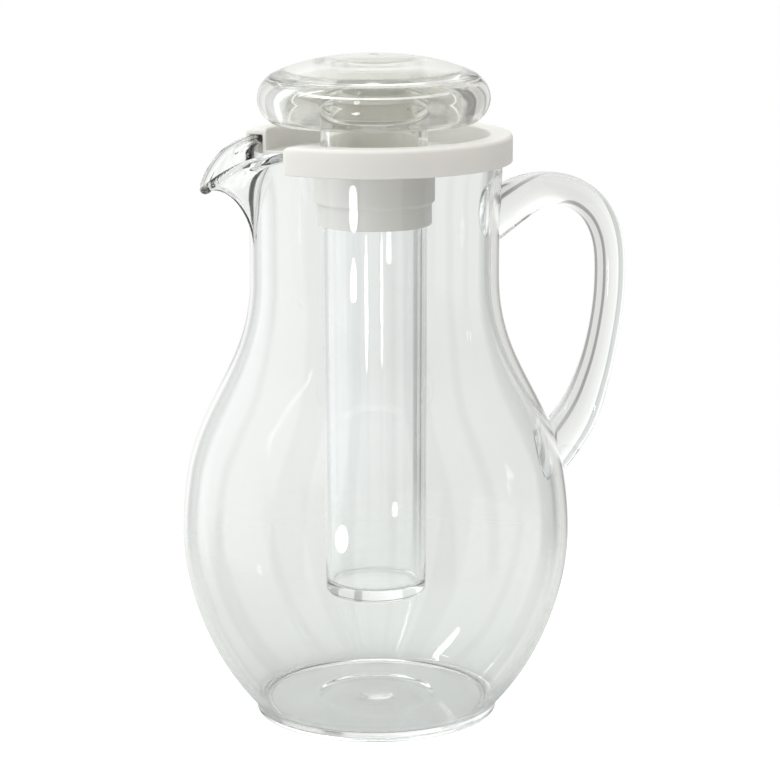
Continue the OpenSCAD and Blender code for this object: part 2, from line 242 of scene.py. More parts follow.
def piece_from(bm, name, material, body, node):
    """Makes the finished mesh a piece that rides on its body and stands for its node."""
    for face in bm.faces:
        face.smooth = True
    mesh = bpy.data.meshes.new(name)
    bm.to_mesh(mesh)
    bm.free()
    mesh.materials.append(material)
    piece = bpy.data.objects.new(name, mesh)
    bpy.context.scene.collection.objects.link(piece)
    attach(piece, body)
    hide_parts(node)
    return piece


# Jug

# How far the outline keeps its way at the foot, on both sides of the belly and below the neck
FOOT_TURN = (21 * MM, 22 * MM)
BELLY_DOWN = 16 * MM
BELLY_UP = 52.6 * MM
NECK_DOWN = 41.4 * MM
# How far the body stands out over the foot
FOOT_SPREAD = 0.6 * MM
# Passes that even out the change of curvature at the belly's widest point
BELLY_PASSES = 8
# The mouth's flare starts this far below the rim, and takes this height
FLARE_BELOW = 28 * MM
FLARE_RUN = 20 * MM
# The recess under the foot: its depth, and how far its edge is from the foot's outside
RECESS = 1 * MM
REST_W = 3.6 * MM
# The floor's inner corner starts this far inside the foot, and this far above the floor
HEEL_IN = 1.35 * MM
HEEL_UP = 1.4 * MM
# Depths of the dish and of the ring round the gate's pip, and how far the pip rises over the floor
DISH_DEPTH = 0.35 * MM
GATE_DEPTH = 0.2 * MM
GATE_RISE = 0.4 * MM
# How round the lip is seen from above at its tip, and at its ends
NOSE = 0.07
SOFT_END = 0.03
# Power by which the rim drops towards the tip
LIP_FALL = 2.05
# How far the bead leans over at the tip, how much it grows there, and how far round it the
# outside of the lip meets it
TIP_LEAN = math.radians(93)
BEAD_GROWTH = 0.3 * MM
BEAD_ROLL = math.radians(70)
# The crease climbs from the keel by this power, and ends this far below the rim
CREASE_CURVE = 2.1
CREASE_BELOW = 1 * MM
SHORTEST_LIP = 2.4 * MM
# The lip's outside keeps its way for these shares of its length, at the crease and at the bead
LIP_PULL = 0.2
TIP_PULL = 0.42
# How sharply the lip's sides leave the neck: 0 is straight up, 1 is straight for the bead
FOLD = 0.25
# Share of the wall's thickness that drawing the lip out takes away: half a wave from the crease to
# the bead, which starts this far on
DRAWN_THIN = 0.5
DRAWN_START = 0.15
LOW_ROWS = 36
HIGH_ROWS = 48
NECK_ROWS = 12
LIP_ROWS = 22
BEAD_ROWS = 16
JUG_STEPS = 256
# The sections stand closer together at the lip: 0 is even, 1 is all at the tip
CROWD = 0.55


def body_outline(jug):
    """Outer side from the foot's top to the straight neck."""
    foot = Vector((jug.foot_r + FOOT_SPREAD, jug.foot_h))
    belly = Vector((jug.belly_r, jug.belly_z))
    neck = Vector((jug.neck_r, jug.neck_z))
    low = bend(foot, FOOT_TURN, (0, -BELLY_DOWN), belly, LOW_ROWS)
    high = bend(belly, (0, BELLY_UP), (0, -NECK_DOWN), neck, HIGH_ROWS)
    line = low + high[1:]
    for _ in range(BELLY_PASSES):
        for i in range(LOW_ROWS - BELLY_PASSES, LOW_ROWS + BELLY_PASSES):
            line[i] = (line[i - 1] + 2 * line[i] + line[i + 1]) / 4
    return line


def inset_line(line, depth):
    """The line moved to its left by depth, square to itself."""
    moved = []
    for i, point in enumerate(line):
        way = (line[min(i + 1, len(line) - 1)] - line[max(i - 1, 0)]).normalized()
        moved.append(point + depth * left_of(way))
    return moved


def lip_share(lip, turn):
    """1 at the lip's tip, falling to 0 at its ends and staying there."""
    t = abs(turn) / lip.half
    raw = 1 - (math.hypot(t, NOSE) - NOSE) / (math.hypot(1, NOSE) - NOSE)
    return 0.5 * (raw + math.hypot(raw, SOFT_END)) - 0.25 * SOFT_END ** 2


def rim_at(jug, lip, share):
    """Middle of the rim's bead."""
    return Vector((
        jug.neck_r + jug.mouth_flare - jug.rim_t / 2 + lip.reach * share,
        jug.mouth_z - jug.rim_t / 2 - lip.drop * max(share, 0) ** LIP_FALL))


def rim_way(share):
    """Way in which the wall runs into the bead."""
    lean = TIP_LEAN * share
    return Vector((math.sin(lean), math.cos(lean)))


def neck_at(jug, z):
    """Outer radius of the neck."""
    return jug.neck_r + jug.mouth_flare * smooth((z - (jug.mouth_z - FLARE_BELOW)) / FLARE_RUN)


def section(jug, lip, body, turn):
    """The jug's whole upright section at a turn from the lip's middle, from the axis under the
    foot, up the outside, over the rim and down to the axis on the floor."""
    share = lip_share(lip, turn)
    t = min(1.0, abs(turn) / lip.half)
    rim = rim_at(jug, lip, share)
    way = rim_way(share)
    up = 1 - (1 - t) ** CREASE_CURVE
    crease = min(mix(lip.keel_z, jug.mouth_z - CREASE_BELOW, up), rim.y - SHORTEST_LIP)
    start = Vector((neck_at(jug, crease), crease))
    bead_r = jug.rim_t / 2 + BEAD_GROWTH * share
    roll = -BEAD_ROLL * share

    def bead_at(q):
        return rim + bead_r * (math.sin(q) * way - math.cos(q) * left_of(way))

    end = bead_at(roll)
    far = (end - start).length
    leave = mix(Vector((0, 1)), (end - start).normalized(), FOLD * (1 - share)).normalized()
    outer_lip = bend(start, LIP_PULL * far * leave, -TIP_PULL * far * way, end, LIP_ROWS)
    inner_lip = []
    for i, point in enumerate(outer_lip):
        a, b = outer_lip[max(i - 1, 0)], outer_lip[min(i + 1, LIP_ROWS - 1)]
        along = i / (LIP_ROWS - 1)
        drawn = DRAWN_THIN * share * math.sin(math.pi * min(1, along + DRAWN_START)) ** 0.5
        depth = mix(jug.wall, bead_r * (1 + math.cos(roll)), along ** 2) * (1 - drawn)
        inner_lip.append(point + depth * left_of((b - a).normalized()))
    bead = [bead_at(mix(roll, math.pi, i / BEAD_ROWS)) for i in range(1, BEAD_ROWS)]
    neck = [
        Vector((neck_at(jug, z), z))
        for z in (mix(jug.neck_z, crease, i / NECK_ROWS) for i in range(1, NECK_ROWS))]
    neck_in = [p - Vector((jug.wall, 0)) for p in neck]
    body_in = inset_line(body, jug.wall)[1:]
    outside = underside(jug) + body + neck + outer_lip
    return outside + bead + inner_lip[::-1] + neck_in[::-1] + body_in[::-1] + floor_top(jug)


def underside(jug):
    """From the axis over the recess and the resting ring to the foot's outside."""
    rest_r = jug.foot_r - REST_W
    line = [(0, RECESS), (rest_r * 0.5, RECESS), (rest_r - 2 * MM, RECESS)]
    line += bend((rest_r - 1.4 * MM, RECESS), (0.8 * MM, 0), (-0.8 * MM, 0), (rest_r + 0.3 * MM, 0), 6)
    line += bend((jug.foot_r - 1.2 * MM, 0), (0.8 * MM, 0), (0, -0.8 * MM), (jug.foot_r, 1.2 * MM), 7)
    line += [(jug.foot_r + 0.1 * MM, 2.2 * MM)]
    return [Vector(p) for p in line]


def floor_top(jug):
    """From the floor's inner corner over the dish's edge and the gate's pip to the axis."""
    top = jug.floor_t
    dish, gate = top - DISH_DEPTH, top - GATE_DEPTH
    heel = Vector((jug.foot_r - HEEL_IN, top + HEEL_UP))
    line = bend(heel, (-0.6 * MM, -0.65 * MM), (0.9 * MM, 0), (heel.x - 1.9 * MM, top), 10)
    line += [(mix(heel.x, jug.dish_r, 0.5), top)]
    line += bend((jug.dish_r + 1.2 * MM, top), (-1 * MM, 0), (1.2 * MM, 0), (jug.dish_r - 1.6 * MM, dish), 7)
    line += bend((jug.gate_r + 5 * MM, dish), (-2 * MM, 0), (1 * MM, 0), (jug.gate_r + 0.4 * MM, gate), 6)
    line += bend((jug.gate_r - 0.4 * MM, top), (-0.6 * MM, 0.2 * MM), (2 * MM, 0), (0, top + GATE_RISE), 8)
    return [Vector(p) for p in line]


def jug_radius(jug, body, z):
    """Outer radius of the jug below the lip."""
    if z > jug.neck_z:
        return neck_at(jug, z)
    for low, high in zip(body, body[1:]):
        if low.y <= z <= high.y:
            return mix(low.x, high.x, (z - low.y) / (high.y - low.y))
    return jug.foot_r


class PITCHER_OT_jug(bpy.types.Operator):
    """Spins the jug's section, then draws the lip out of the neck"""

    bl_idname = "pitcher.jug"
    bl_label = "Jug"

    def execute(self, context):
        scene = context.scene
        jug, lip = scene.pitcher_jug, scene.pitcher_lip
        body = body_outline(jug)
        bm = bmesh.new()
        row = bm.verts.layers.int.new("row")
        for i, vert in enumerate(wire(bm, section(jug, lip, body, math.pi), False)):
            vert[row] = i
        turn_round(bm, JUG_STEPS)
        sections = {}
        for vert in bm.verts:
            spun_to = math.atan2(vert.co.y, -vert.co.x) if vert.co.xy.length > WELD / 10 else 0.0
            turn = spun_to - CROWD * math.sin(spun_to)
            key = round(turn, 5)
            if key not in sections:
                sections[key] = section(jug, lip, body, turn)
            point = sections[key][vert[row]]
            vert.co = (-point.x * math.cos(turn), point.x * math.sin(turn), point.y)
        weld(bm)
        bm.verts.layers.int.remove(row)
        plastic = clear_polycarbonate(
            "blow_moulded_polycarbonate", scene.pitcher_finish.clear, ripple=34 * MM, height=0.1 * MM)
        piece_from(bm, "clear_jug", plastic, "jug", "jug_body")
        return {"FINISHED"}


# Handle

# Middle line of the rod, as (distance from the axis, height) in millimetres
ROD_LINE = [
    (44.6, 191), (58.5, 199.2), (69, 202.2), (79.5, 200.4), (89, 193.2),
    (94.6, 181), (95.6, 164), (93.6, 146), (89, 127), (81.5, 110), (66, 91)]
ROD_END = len(ROD_LINE) - 1
# Stretches of the line, counted in its points, over which the rod swells towards its top and low
# bonds, and over which it narrows from both to the grip
TOP_SWELL_RUN = 3.2
LOW_SWELL_RUN = 3.6
NARROW_RUN = 3
SWELL_POWER = 1.5
NARROWING = 1.5 * MM
# Share of the swell that also widens the low end
LOW_SPREAD = 0.35
# How far from its ends the line comes out of the jug at the latest, counted in its points
TOP_BURIED = 2.0
LOW_BURIED = 2.5
HALVINGS = 26
ROD_SIDES = 40
ROD_RINGS = 96
CAP_RINGS = 6


def rod_point(i):
    return Vector(ROD_LINE[min(ROD_END, max(0, i))]) * MM


def rod_at(t):
    """Smooth curve through the points of the middle line."""
    i = min(ROD_END - 1, int(t))
    u = t - i
    a, b, c, d = [rod_point(i + k) for k in (-1, 0, 1, 2)]
    square = 2 * a - 5 * b + 4 * c - d
    cube = 3 * b - 3 * c + d - a
    return 0.5 * (2 * b + (c - a) * u + square * u ** 2 + cube * u ** 3)


def rod_skin(rod, t, q):
    """Point on the rod's skin at t along it and q round it."""
    way = (rod_at(min(ROD_END, t + 0.02)) - rod_at(max(0, t - 0.02))).normalized()
    near, far = smooth(t / TOP_SWELL_RUN), smooth((ROD_END - t) / LOW_SWELL_RUN)
    depth = rod.depth + rod.swell * ((1 - near) ** SWELL_POWER + (1 - far) ** SWELL_POWER)
    near, far = smooth(t / NARROW_RUN), smooth((ROD_END - t) / NARROW_RUN)
    width = rod.width - NARROWING * near * far + LOW_SPREAD * rod.swell * (1 - far)
    middle = rod_at(t) + left_of(way) * depth / 2 * math.cos(q)
    return Vector((min(middle.x, HANDLE_HIGH.x), width / 2 * math.sin(q), middle.y))


def skin_over(rings):
    """A closed skin over rings of points."""
    bm = bmesh.new()
    loops = []
    for ring in rings:
        verts = bmesh.ops.create_circle(bm, segments=len(ring), radius=MM)["verts"]
        for vert, point in zip(verts, ring):
            vert.co = point
        loops.append(verts)
    for low, high in zip(loops, loops[1:]):
        edges = list({e for v in low + high for e in v.link_edges if len(e.link_faces) < 2})
        edges = [e for e in edges if (e.verts[0] in low) == (e.verts[1] in low)]
        bmesh.ops.bridge_loops(bm, edges=edges)
    fill_ends(bm)
    return bm


class PITCHER_OT_handle(bpy.types.Operator):
    """Sweeps the handle's rod and ends it on the jug's wall"""

    bl_idname = "pitcher.handle"
    bl_label = "Handle"

    def execute(self, context):
        scene = context.scene
        jug, rod = scene.pitcher_jug, scene.pitcher_handle
        body = body_outline(jug)

        def wall_at(z):
            return jug_radius(jug, body, z)

        def meeting(q, inner, outer):
            """Where the line q round the rod comes out of the jug's wall."""
            for _ in range(HALVINGS):
                middle = (inner + outer) / 2
                point = rod_skin(rod, middle, q)
                if point.xy.length - wall_at(point.z) - SEAM < 0:
                    inner = middle
                else:
                    outer = middle
            return outer

        def on_wall(point):
            radius = wall_at(point.z) + SEAM
            return Vector((math.sqrt(radius ** 2 - point.y ** 2), point.y, point.z))

        def cap(ring):
            """Rings that close one end on the jug's wall, from the rim inwards."""
            middle = sum(ring, Vector()) / len(ring)
            shares = [1 - i / CAP_RINGS for i in range(1, CAP_RINGS)]
            return [[on_wall(middle.lerp(point, share)) for point in ring] for share in shares]

        turns = [2 * math.pi * k / ROD_SIDES for k in range(ROD_SIDES)]
        starts = [meeting(q, 0.0, TOP_BURIED) for q in turns]
        ends = [meeting(q, ROD_END, ROD_END - LOW_BURIED) for q in turns]
        rings = [
            [rod_skin(rod, mix(a, b, i / ROD_RINGS), q) for a, b, q in zip(starts, ends, turns)]
            for i in range(ROD_RINGS + 1)]
        bm = skin_over(cap(rings[0])[::-1] + rings + cap(rings[-1]))
        plastic = clear_polycarbonate(
            "moulded_polycarbonate_rod", scene.pitcher_finish.clear, ripple=22 * MM, height=0.12 * MM)
        piece_from(bm, "clear_handle", plastic, "jug", "handle")
        return {"FINISHED"}


# Collar

RING_WALL = 1.9 * MM
RING_TOP_T = 2.4 * MM
# Inner side of the channel that takes the jug's rim, and its wall
CHANNEL_R = 45.35 * MM
INNER_WALL = 1.45 * MM
# The socket's bores for the lid's seal and for the tube, with the ledge that carries the flange
SOCKET_BORE = 21.6 * MM
TUBE_BORE = 20.55 * MM
LEDGE_Z = 202 * MM
# The outer step between the socket's two radii: its middle and half of its height
STEP_Z = 200.3 * MM
STEP_HALF = 0.6 * MM
SOCKET_RISE = 1.6 * MM
# Width of the web that goes all round the socket, and how far the ring's part reaches into it
BAY_W = 4.5 * MM
LAP = 0.6 * MM
# Rows of the ring stand closer at its cut ends: 0 is even, 1 is all at the ends
END_CROWD = 0.93
# The cut ends' edges are eased, and their top corner falls away over a longer stretch
END_ROUND = 0.35 * MM
TOP_FALL = 1.6 * MM
TOP_RUN = 3 * MM
# Edges sharper than this stay sharp, so flat faces stay flat beside rounded edges
SHARP = math.radians(32)
COLLAR_STEPS = 160


def quarter_round(distance, run, depth):
    """How deep a rounded end has fallen at a distance from its tip."""
    left = max(0.0, 1 - distance / run)
    return depth * (1 - math.sqrt(1 - left * left))


def round_ends(bm, half, ceiling, top):
    """Rounds both ends of the open ring, which is cut half to each side of the lip, and fills
    them."""
    bm.normal_update()
    normals = {vert: vert.normal.copy() for vert in bm.verts}
    for vert in bm.verts:
        x, y, z = vert.co
        radius, turn = math.hypot(x, y), math.atan2(y, -x)
        along = (math.pi - abs(turn)) / (math.pi - half)
        along = min(1.0, along + END_CROWD / math.pi * math.sin(math.pi * along))
        turn_to = math.copysign(math.pi - along * (math.pi - half), turn)
        distance = (1 - along) * (math.pi - half) * radius
        fall = quarter_round(distance, TOP_RUN, TOP_FALL) * max(0.0, (z - ceiling) / (top - ceiling))
        normal = normals[vert]
        outward = (x * normal.x + y * normal.y) / radius
        inset = quarter_round(distance, END_ROUND, END_ROUND)
        radius -= inset * outward
        vert.co = (-radius * math.cos(turn_to), radius * math.sin(turn_to), z - fall - inset * normal.z)
    fill_ends(bm)


def collar_ring(s):
    """Corners of the channel over the rim, with the web that leads in to the socket."""
    low, top = s.ring_z, COLLAR_HIGH.z
    web, ceiling = low + s.web_t, top - RING_TOP_T
    inner_r = CHANNEL_R - INNER_WALL
    outer_in = s.outer_r - RING_WALL
    lap_r = s.socket_r + BAY_W - LAP
    return [
        (s.outer_r, low, 0.5 * MM), (s.outer_r, top, 1.6 * MM), (inner_r, top, 0.8 * MM),
        (inner_r, web, 0.7 * MM), (lap_r, web), (lap_r, low), (CHANNEL_R, low, 0.3 * MM),
        (CHANNEL_R, ceiling, 0.6 * MM), (outer_in, ceiling, 0.6 * MM), (outer_in, low, 0.5 * MM)]


def collar_socket(s):
    """Corners of the two-stepped socket with the web round it."""
    low, end = s.ring_z, COLLAR_LOW.z
    web = low + s.web_t
    rise = web + SOCKET_RISE
    bay_r = s.socket_r + BAY_W
    return [
        (s.socket_r, low), (s.socket_r, STEP_Z + STEP_HALF, 0.25 * MM),
        (s.socket_low_r, STEP_Z - STEP_HALF, 0.25 * MM), (s.socket_low_r, end, 0.6 * MM),
        (TUBE_BORE, end, 0.3 * MM), (TUBE_BORE, LEDGE_Z, 0.2 * MM), (SOCKET_BORE, LEDGE_Z, 0.2 * MM),
        (SOCKET_BORE, rise, 0.4 * MM), (s.socket_r, rise, 0.5 * MM), (s.socket_r, web, 0.4 * MM),
        (bay_r, web, 0.5 * MM), (bay_r, low, 0.4 * MM)]


class PITCHER_OT_collar(bpy.types.Operator):
    """Spins the collar's channel short of the pouring gap, and its web and socket all round"""

    bl_idname = "pitcher.collar"
    bl_label = "Collar"

    def execute(self, context):
        scene = context.scene
        s = scene.pitcher_collar
        start, sweep = math.pi + s.gap_half, 2 * (math.pi - s.gap_half)
        bm = spun(collar_ring(s), steps=COLLAR_STEPS, start=start, sweep=sweep)
        round_ends(bm, s.gap_half, COLLAR_HIGH.z - RING_TOP_T, COLLAR_HIGH.z)
        socket = spun(collar_socket(s), steps=COLLAR_STEPS)
        extra = bpy.data.meshes.new("socket")
        socket.to_mesh(extra)
        socket.free()
        bm.from_mesh(extra)
        bpy.data.meshes.remove(extra)
        plastic = milky_polypropylene("milky_polypropylene", scene.pitcher_finish.collar)
        collar = piece_from(bm, "white_collar", plastic, "collar", "collar")
        collar.data.set_sharp_from_angle(angle=SHARP)
        return {"FINISHED"}


# Ice tube

FLANGE_T = 2.4 * MM
TUBE_ROWS = 24


def tube_outline(s):
    """From the axis under the closed end, up the outside, over the flange and down inside."""
    low, top = TUBE_LOW.z, TUBE_HIGH.z
    low_r = s.outer_r - s.draft
    flange_r, flange_z = TUBE_HIGH.x, top - FLANGE_T
    inner_r, low_in = s.outer_r - s.wall, low_r - s.wall
    floor_z = low + s.floor_t

    def straight(a, b):
        return [Vector(a).lerp(Vector(b), i / TUBE_ROWS) for i in range(1, TUBE_ROWS)]

    foot, neck = (low_r, low + 2.2 * MM), (s.outer_r, flange_z - 0.4 * MM)
    mouth, heel = (inner_r, top - 0.5 * MM), (low_in, floor_z + 2 * MM)
    line = [(0, low), (low_r * 0.5, low)]
    line += bend((low_r - 2.2 * MM, low), (1.4 * MM, 0), (0, -1.4 * MM), foot, 8)
    line += straight(foot, neck)
    line += bend(neck, (0, 0.3 * MM), (-0.3 * MM, 0), (s.outer_r + 0.4 * MM, flange_z), 4)
    line += bend(
        (flange_r - 0.4 * MM, flange_z), (0.3 * MM, 0), (0, -0.3 * MM), (flange_r, flange_z + 0.4 * MM), 4)
    line += bend((flange_r, top - 0.5 * MM), (0, 0.4 * MM), (0.4 * MM, 0), (flange_r - 0.5 * MM, top), 4)
    line += bend((inner_r + 0.5 * MM, top), (-0.4 * MM, 0), (0, 0.4 * MM), mouth, 4)
    line += straight(mouth, heel)
    line += bend(heel, (0, -1.2 * MM), (1.2 * MM, 0), (low_in - 2 * MM, floor_z), 8)
    return line + [(low_in * 0.5, floor_z), (0, floor_z)]


class PITCHER_OT_ice_tube(bpy.types.Operator):
    """Spins the closed ice tube with its flange"""

    bl_idname = "pitcher.ice_tube"
    bl_label = "Ice tube"

    def execute(self, context):
        scene = context.scene
        bm = spun(tube_outline(scene.pitcher_tube), closed=False)
        plastic = clear_polycarbonate(
            "moulded_polycarbonate_tube", scene.pitcher_finish.clear, ripple=30 * MM, height=0.05 * MM)
        piece_from(bm, "clear_ice_tube", plastic, "ice_tube", "ice_tube")
        return {"FINISHED"}


# Lid

# The dome is an ellipse of this half width, cut off at the cap's edge
DOME_A = 46 * MM
CAP_R = 39.6 * MM
CAP_EDGE_Z = 248 * MM
CAP_T = 3 * MM
SKIRT_T = 3 * MM
SKIRT_Z = 241.5 * MM
SKIRT_PLAY = 0.1 * MM
# The cavity's side is straight above and round below, so that the lid's thick side bends the view
# only a little
BARREL_R = 7.4 * MM
BARREL_LOW = math.radians(-58)
CAVITY_FLOOR_T = 2.2 * MM
# The round moulding mark in the middle of the top
MARK_R = 2 * MM
MARK_DEPTH = 0.3 * MM
STEM_TOP = 250.4 * MM
# Width of the seat inside the cap for the stem's top
SEAT_W = 1.6 * MM
# The thinner end of the stem, which carries the seal
SPIGOT_R = 19.3 * MM
SPIGOT_Z = 209.2 * MM
# The seal's two ribs: their heights over its end, half of their width, and how far they stand out
RIBS = (1.3 * MM, 3.3 * MM)
RIB_HALF = 0.5 * MM
RIB_OUT = 0.4 * MM
BULGE_ROWS = 40
BARREL_ROWS = 30
DOME_ROWS = 36
CEILING_ROWS = 16
SEAL_STEPS = 96


def bowl_corners(s):
    """The stem from its end up, the round side, then the cavity and the stem's inside."""
    low = math.asin((s.under_z - s.bulge_z) / s.bulge_r)
    high = math.asin((s.shoulder_z - s.bulge_z) / s.bulge_r)
    bulge = arc(s.bulge_x, s.bulge_z, s.bulge_r, low, high, BULGE_ROWS)
    barrel = arc(s.cavity_r - BARREL_R, s.bulge_z, BARREL_R, 0, BARREL_LOW, BARREL_ROWS)
    end_z = BOWL_LOW.z
    floor_z = s.under_z + CAVITY_FLOOR_T
    corners = [
        (s.bore_r, end_z, 0.5 * MM), (SPIGOT_R, end_z, 0.5 * MM), (SPIGOT_R, SPIGOT_Z, 0.3 * MM),
        (s.stem_r, SPIGOT_Z, 0.5 * MM), (s.stem_r, s.under_z, 1.2 * MM)]
    corners += [bulge[0] + (0.6 * MM,)] + bulge[1:-1] + [bulge[-1] + (0.6 * MM,)]
    corners += [(s.cavity_r, s.shoulder_z, 0.4 * MM)] + barrel
    corners += [
        (barrel[-1][0] - 0.6 * MM, floor_z, 0.4 * MM), (s.stem_r, floor_z, 1 * MM),
        (s.stem_r, STEM_TOP - SEAM, 0.4 * MM), (s.bore_r, STEM_TOP - SEAM, 0.4 * MM)]
    return corners


def cap_corners(s):
    """The domed top from its moulding mark to its edge, the skirt, then the ceiling inside."""
    rise = (s.top_z - CAP_EDGE_Z) / (1 - math.sqrt(1 - (CAP_R / DOME_A) ** 2))

    def dome(r):
        return s.top_z - rise * (1 - math.sqrt(1 - (r / DOME_A) ** 2))

    skirt_r = s.cavity_r - SKIRT_PLAY
    skirt_in = skirt_r - SKIRT_T
    seat_r = s.stem_r + SEAT_W
    mark_z = s.top_z - MARK_DEPTH
    lip_z = s.shoulder_z + SEAM
    top = [(CAP_R * i / DOME_ROWS, dome(CAP_R * i / DOME_ROWS)) for i in range(3, DOME_ROWS)]
    ceiling = [mix(skirt_in, seat_r, i / CEILING_ROWS) for i in range(CEILING_ROWS + 1)]
    ceiling = [(r, dome(r) - CAP_T) for r in ceiling]
    corners = [(0, mark_z), (MARK_R - 0.4 * MM, mark_z, 0.2 * MM), (MARK_R, dome(MARK_R), 0.15 * MM)]
    corners += top + [(CAP_R, dome(CAP_R), 0.3 * MM), (CAP_R, lip_z, 0.25 * MM)]
    corners += [(skirt_r, lip_z, 0.2 * MM), (skirt_r, SKIRT_Z, 0.5 * MM), (skirt_in, SKIRT_Z, 0.5 * MM)]
    corners += [ceiling[0] + (0.8 * MM,)] + ceiling[1:-1] + [ceiling[-1] + (0.8 * MM,)]
    corners += [
        (seat_r, STEM_TOP, 0.4 * MM), (s.bore_r - 0.8 * MM, STEM_TOP, 0.5 * MM),
        (s.bore_r - 1.8 * MM, dome(s.bore_r) - CAP_T, 0.8 * MM),
        (s.bore_r * 0.5, dome(s.bore_r * 0.5) - CAP_T), (0, s.top_z - CAP_T)]
    return corners


def seal_corners(s):
    """The soft sleeve with its two ribs, and the turn-in under the stem's end."""
    rib_r, foot_z = SEAL_HIGH.x, SEAL_LOW.z
    sleeve_r = rib_r - RIB_OUT
    end_z = BOWL_LOW.z - SEAM
    top_z = SPIGOT_Z - SEAM
    inner_r, spigot_r = s.bore_r + 0.2 * MM, SPIGOT_R + SEAM
    corners = [(inner_r, foot_z, 0.2 * MM), (rib_r - 0.6 * MM, foot_z, 0.2 * MM)]
    for height in RIBS:
        z = foot_z + height
        corners += [
            (sleeve_r, z - RIB_HALF, 0.1 * MM), (rib_r, z, 0.2 * MM), (sleeve_r, z + RIB_HALF, 0.1 * MM)]
    corners += [
        (sleeve_r, top_z, 0.2 * MM), (spigot_r, top_z, 0.2 * MM), (spigot_r, end_z),
        (inner_r, end_z, 0.2 * MM)]
    return corners


class PITCHER_OT_lid(bpy.types.Operator):
    """Spins the lid's thick bowl with its stem, its domed cap and the stem's soft seal"""

    bl_idname = "pitcher.lid"
    bl_label = "Lid"

    def execute(self, context):
        scene = context.scene
        s, finish = scene.pitcher_lid, scene.pitcher_finish
        plastic = clear_polycarbonate(
            "moulded_polycarbonate_lid", finish.lid, ripple=18 * MM, height=0.05 * MM)
        silicone = milky_silicone("milky_silicone", finish.seal)
        piece_from(spun(bowl_corners(s)), "clear_lid_bowl", plastic, "lid", "lid_bowl")
        cap = spun(cap_corners(s), closed=False)
        piece_from(cap, "clear_lid_cap", plastic, "lid", "lid_cap")
        seal = spun(seal_corners(s), steps=SEAL_STEPS)
        piece_from(seal, "silicone_seal", silicone, "lid", "lid_seal")
        return {"FINISHED"}


# Materials


def linear(hex_value):
    """An sRGB hex value as linear red, green, blue and alpha."""
    parts = [int(hex_value[i:i + 2], 16) / 255 for i in (1, 3, 5)]
    return tuple(c / 12.92 if c <= 0.04045 else ((c + 0.055) / 1.055) ** 2.4 for c in parts) + (1.0,)


def add_node(tree, kind, settings=(), links=(), **values):
    """Adds a node: settings are its own options, values its sockets' numbers, and links pairs of
    an input's name or number and the socket that feeds it."""
    node = tree.nodes.new(kind)
    for name, value in dict(settings).items():
        setattr(node, name, value)
    for name, value in values.items():
        node.inputs[name.replace("_", " ")].default_value = value
    for name, socket in links:
        tree.links.new(socket, node.inputs[name])
    return node


def new_material(name):
    """An empty material, and its nodes."""
    material = bpy.data.materials.new(name)
    material.use_nodes = True
    material.node_tree.nodes.clear()
    return material, material.node_tree


def clear_polycarbonate(name, tint, ripple, height):
    """Clear polycarbonate, which bends light strongly. Its skin has the faint long ripples of
    blowing or moulding, and a trace of handling haze that dulls the gloss in patches. Most light
    gets through to its shadow."""
    material, tree = new_material(name)
    place = add_node(tree, "ShaderNodeTexCoord").outputs["Object"]
    flow = add_node(
        tree, "ShaderNodeTexNoise", links=[("Vector", place)], Scale=1 / ripple, Detail=1.0, Roughness=0.4)
    haze = add_node(
        tree, "ShaderNodeTexNoise", links=[("Vector", place)], Scale=1 / (45 * MM), Detail=3.0, Roughness=0.6)
    dulled = add_node(
        tree, "ShaderNodeMapRange", links=[("Value", haze.outputs["Fac"])],
        From_Min=0.45, From_Max=0.75, To_Min=0.012, To_Max=0.035)
    bump = add_node(
        tree, "ShaderNodeBump", links=[("Height", flow.outputs["Fac"])], Strength=0.5, Distance=height)
    plastic = add_node(
        tree, "ShaderNodeBsdfPrincipled",
        links=[("Roughness", dulled.outputs["Result"]), ("Normal", bump.outputs["Normal"])],
        Base_Color=linear(tint), IOR=1.585, Transmission_Weight=1.0)
    lets_through = add_node(tree, "ShaderNodeBsdfTransparent", Color=linear("#F4F5F5"))
    path = add_node(tree, "ShaderNodeLightPath")
    shown = add_node(
        tree, "ShaderNodeMixShader",
        links=[(0, path.outputs["Is Shadow Ray"]), (1, plastic.outputs[0]), (2, lets_through.outputs[0])])
    add_node(tree, "ShaderNodeOutputMaterial", links=[("Surface", shown.outputs[0])])
    return material


def milky_polypropylene(name, tint):
    """Injection-moulded white polypropylene: satin, lightly waxy and a little cloudy, and some
    light comes through its thin walls. The grain of the mould's spark-eroded face is finer than
    this, and is drawn as coarse as it needs to show."""
    material, tree = new_material(name)
    place = add_node(tree, "ShaderNodeTexCoord").outputs["Object"]
    grain = add_node(
        tree, "ShaderNodeTexNoise", links=[("Vector", place)], Scale=1 / (0.8 * MM), Detail=2.0)
    cloud = add_node(
        tree, "ShaderNodeTexNoise", links=[("Vector", place)], Scale=1 / (30 * MM), Detail=2.0)
    shade = add_node(
        tree, "ShaderNodeMix", {"data_type": "RGBA"}, [("Factor", cloud.outputs["Fac"])])
    shade.inputs[6].default_value = linear(tint)
    shade.inputs[7].default_value = linear("#E7E4E0")
    satin = add_node(
        tree, "ShaderNodeMapRange", links=[("Value", cloud.outputs["Fac"])],
        From_Min=0.3, From_Max=0.7, To_Min=0.38, To_Max=0.46)
    bump = add_node(
        tree, "ShaderNodeBump", links=[("Height", grain.outputs["Fac"])], Strength=0.25, Distance=0.05 * MM)
    plastic = add_node(
        tree, "ShaderNodeBsdfPrincipled",
        links=[("Base Color", shade.outputs[2]), ("Roughness", satin.outputs["Result"]),
               ("Normal", bump.outputs["Normal"])],
        IOR=1.49, Subsurface_Weight=0.5, Subsurface_Radius=(1.0, 0.95, 0.85), Subsurface_Scale=3 * MM)
    add_node(tree, "ShaderNodeOutputMaterial", links=[("Surface", plastic.outputs[0])])
    return material


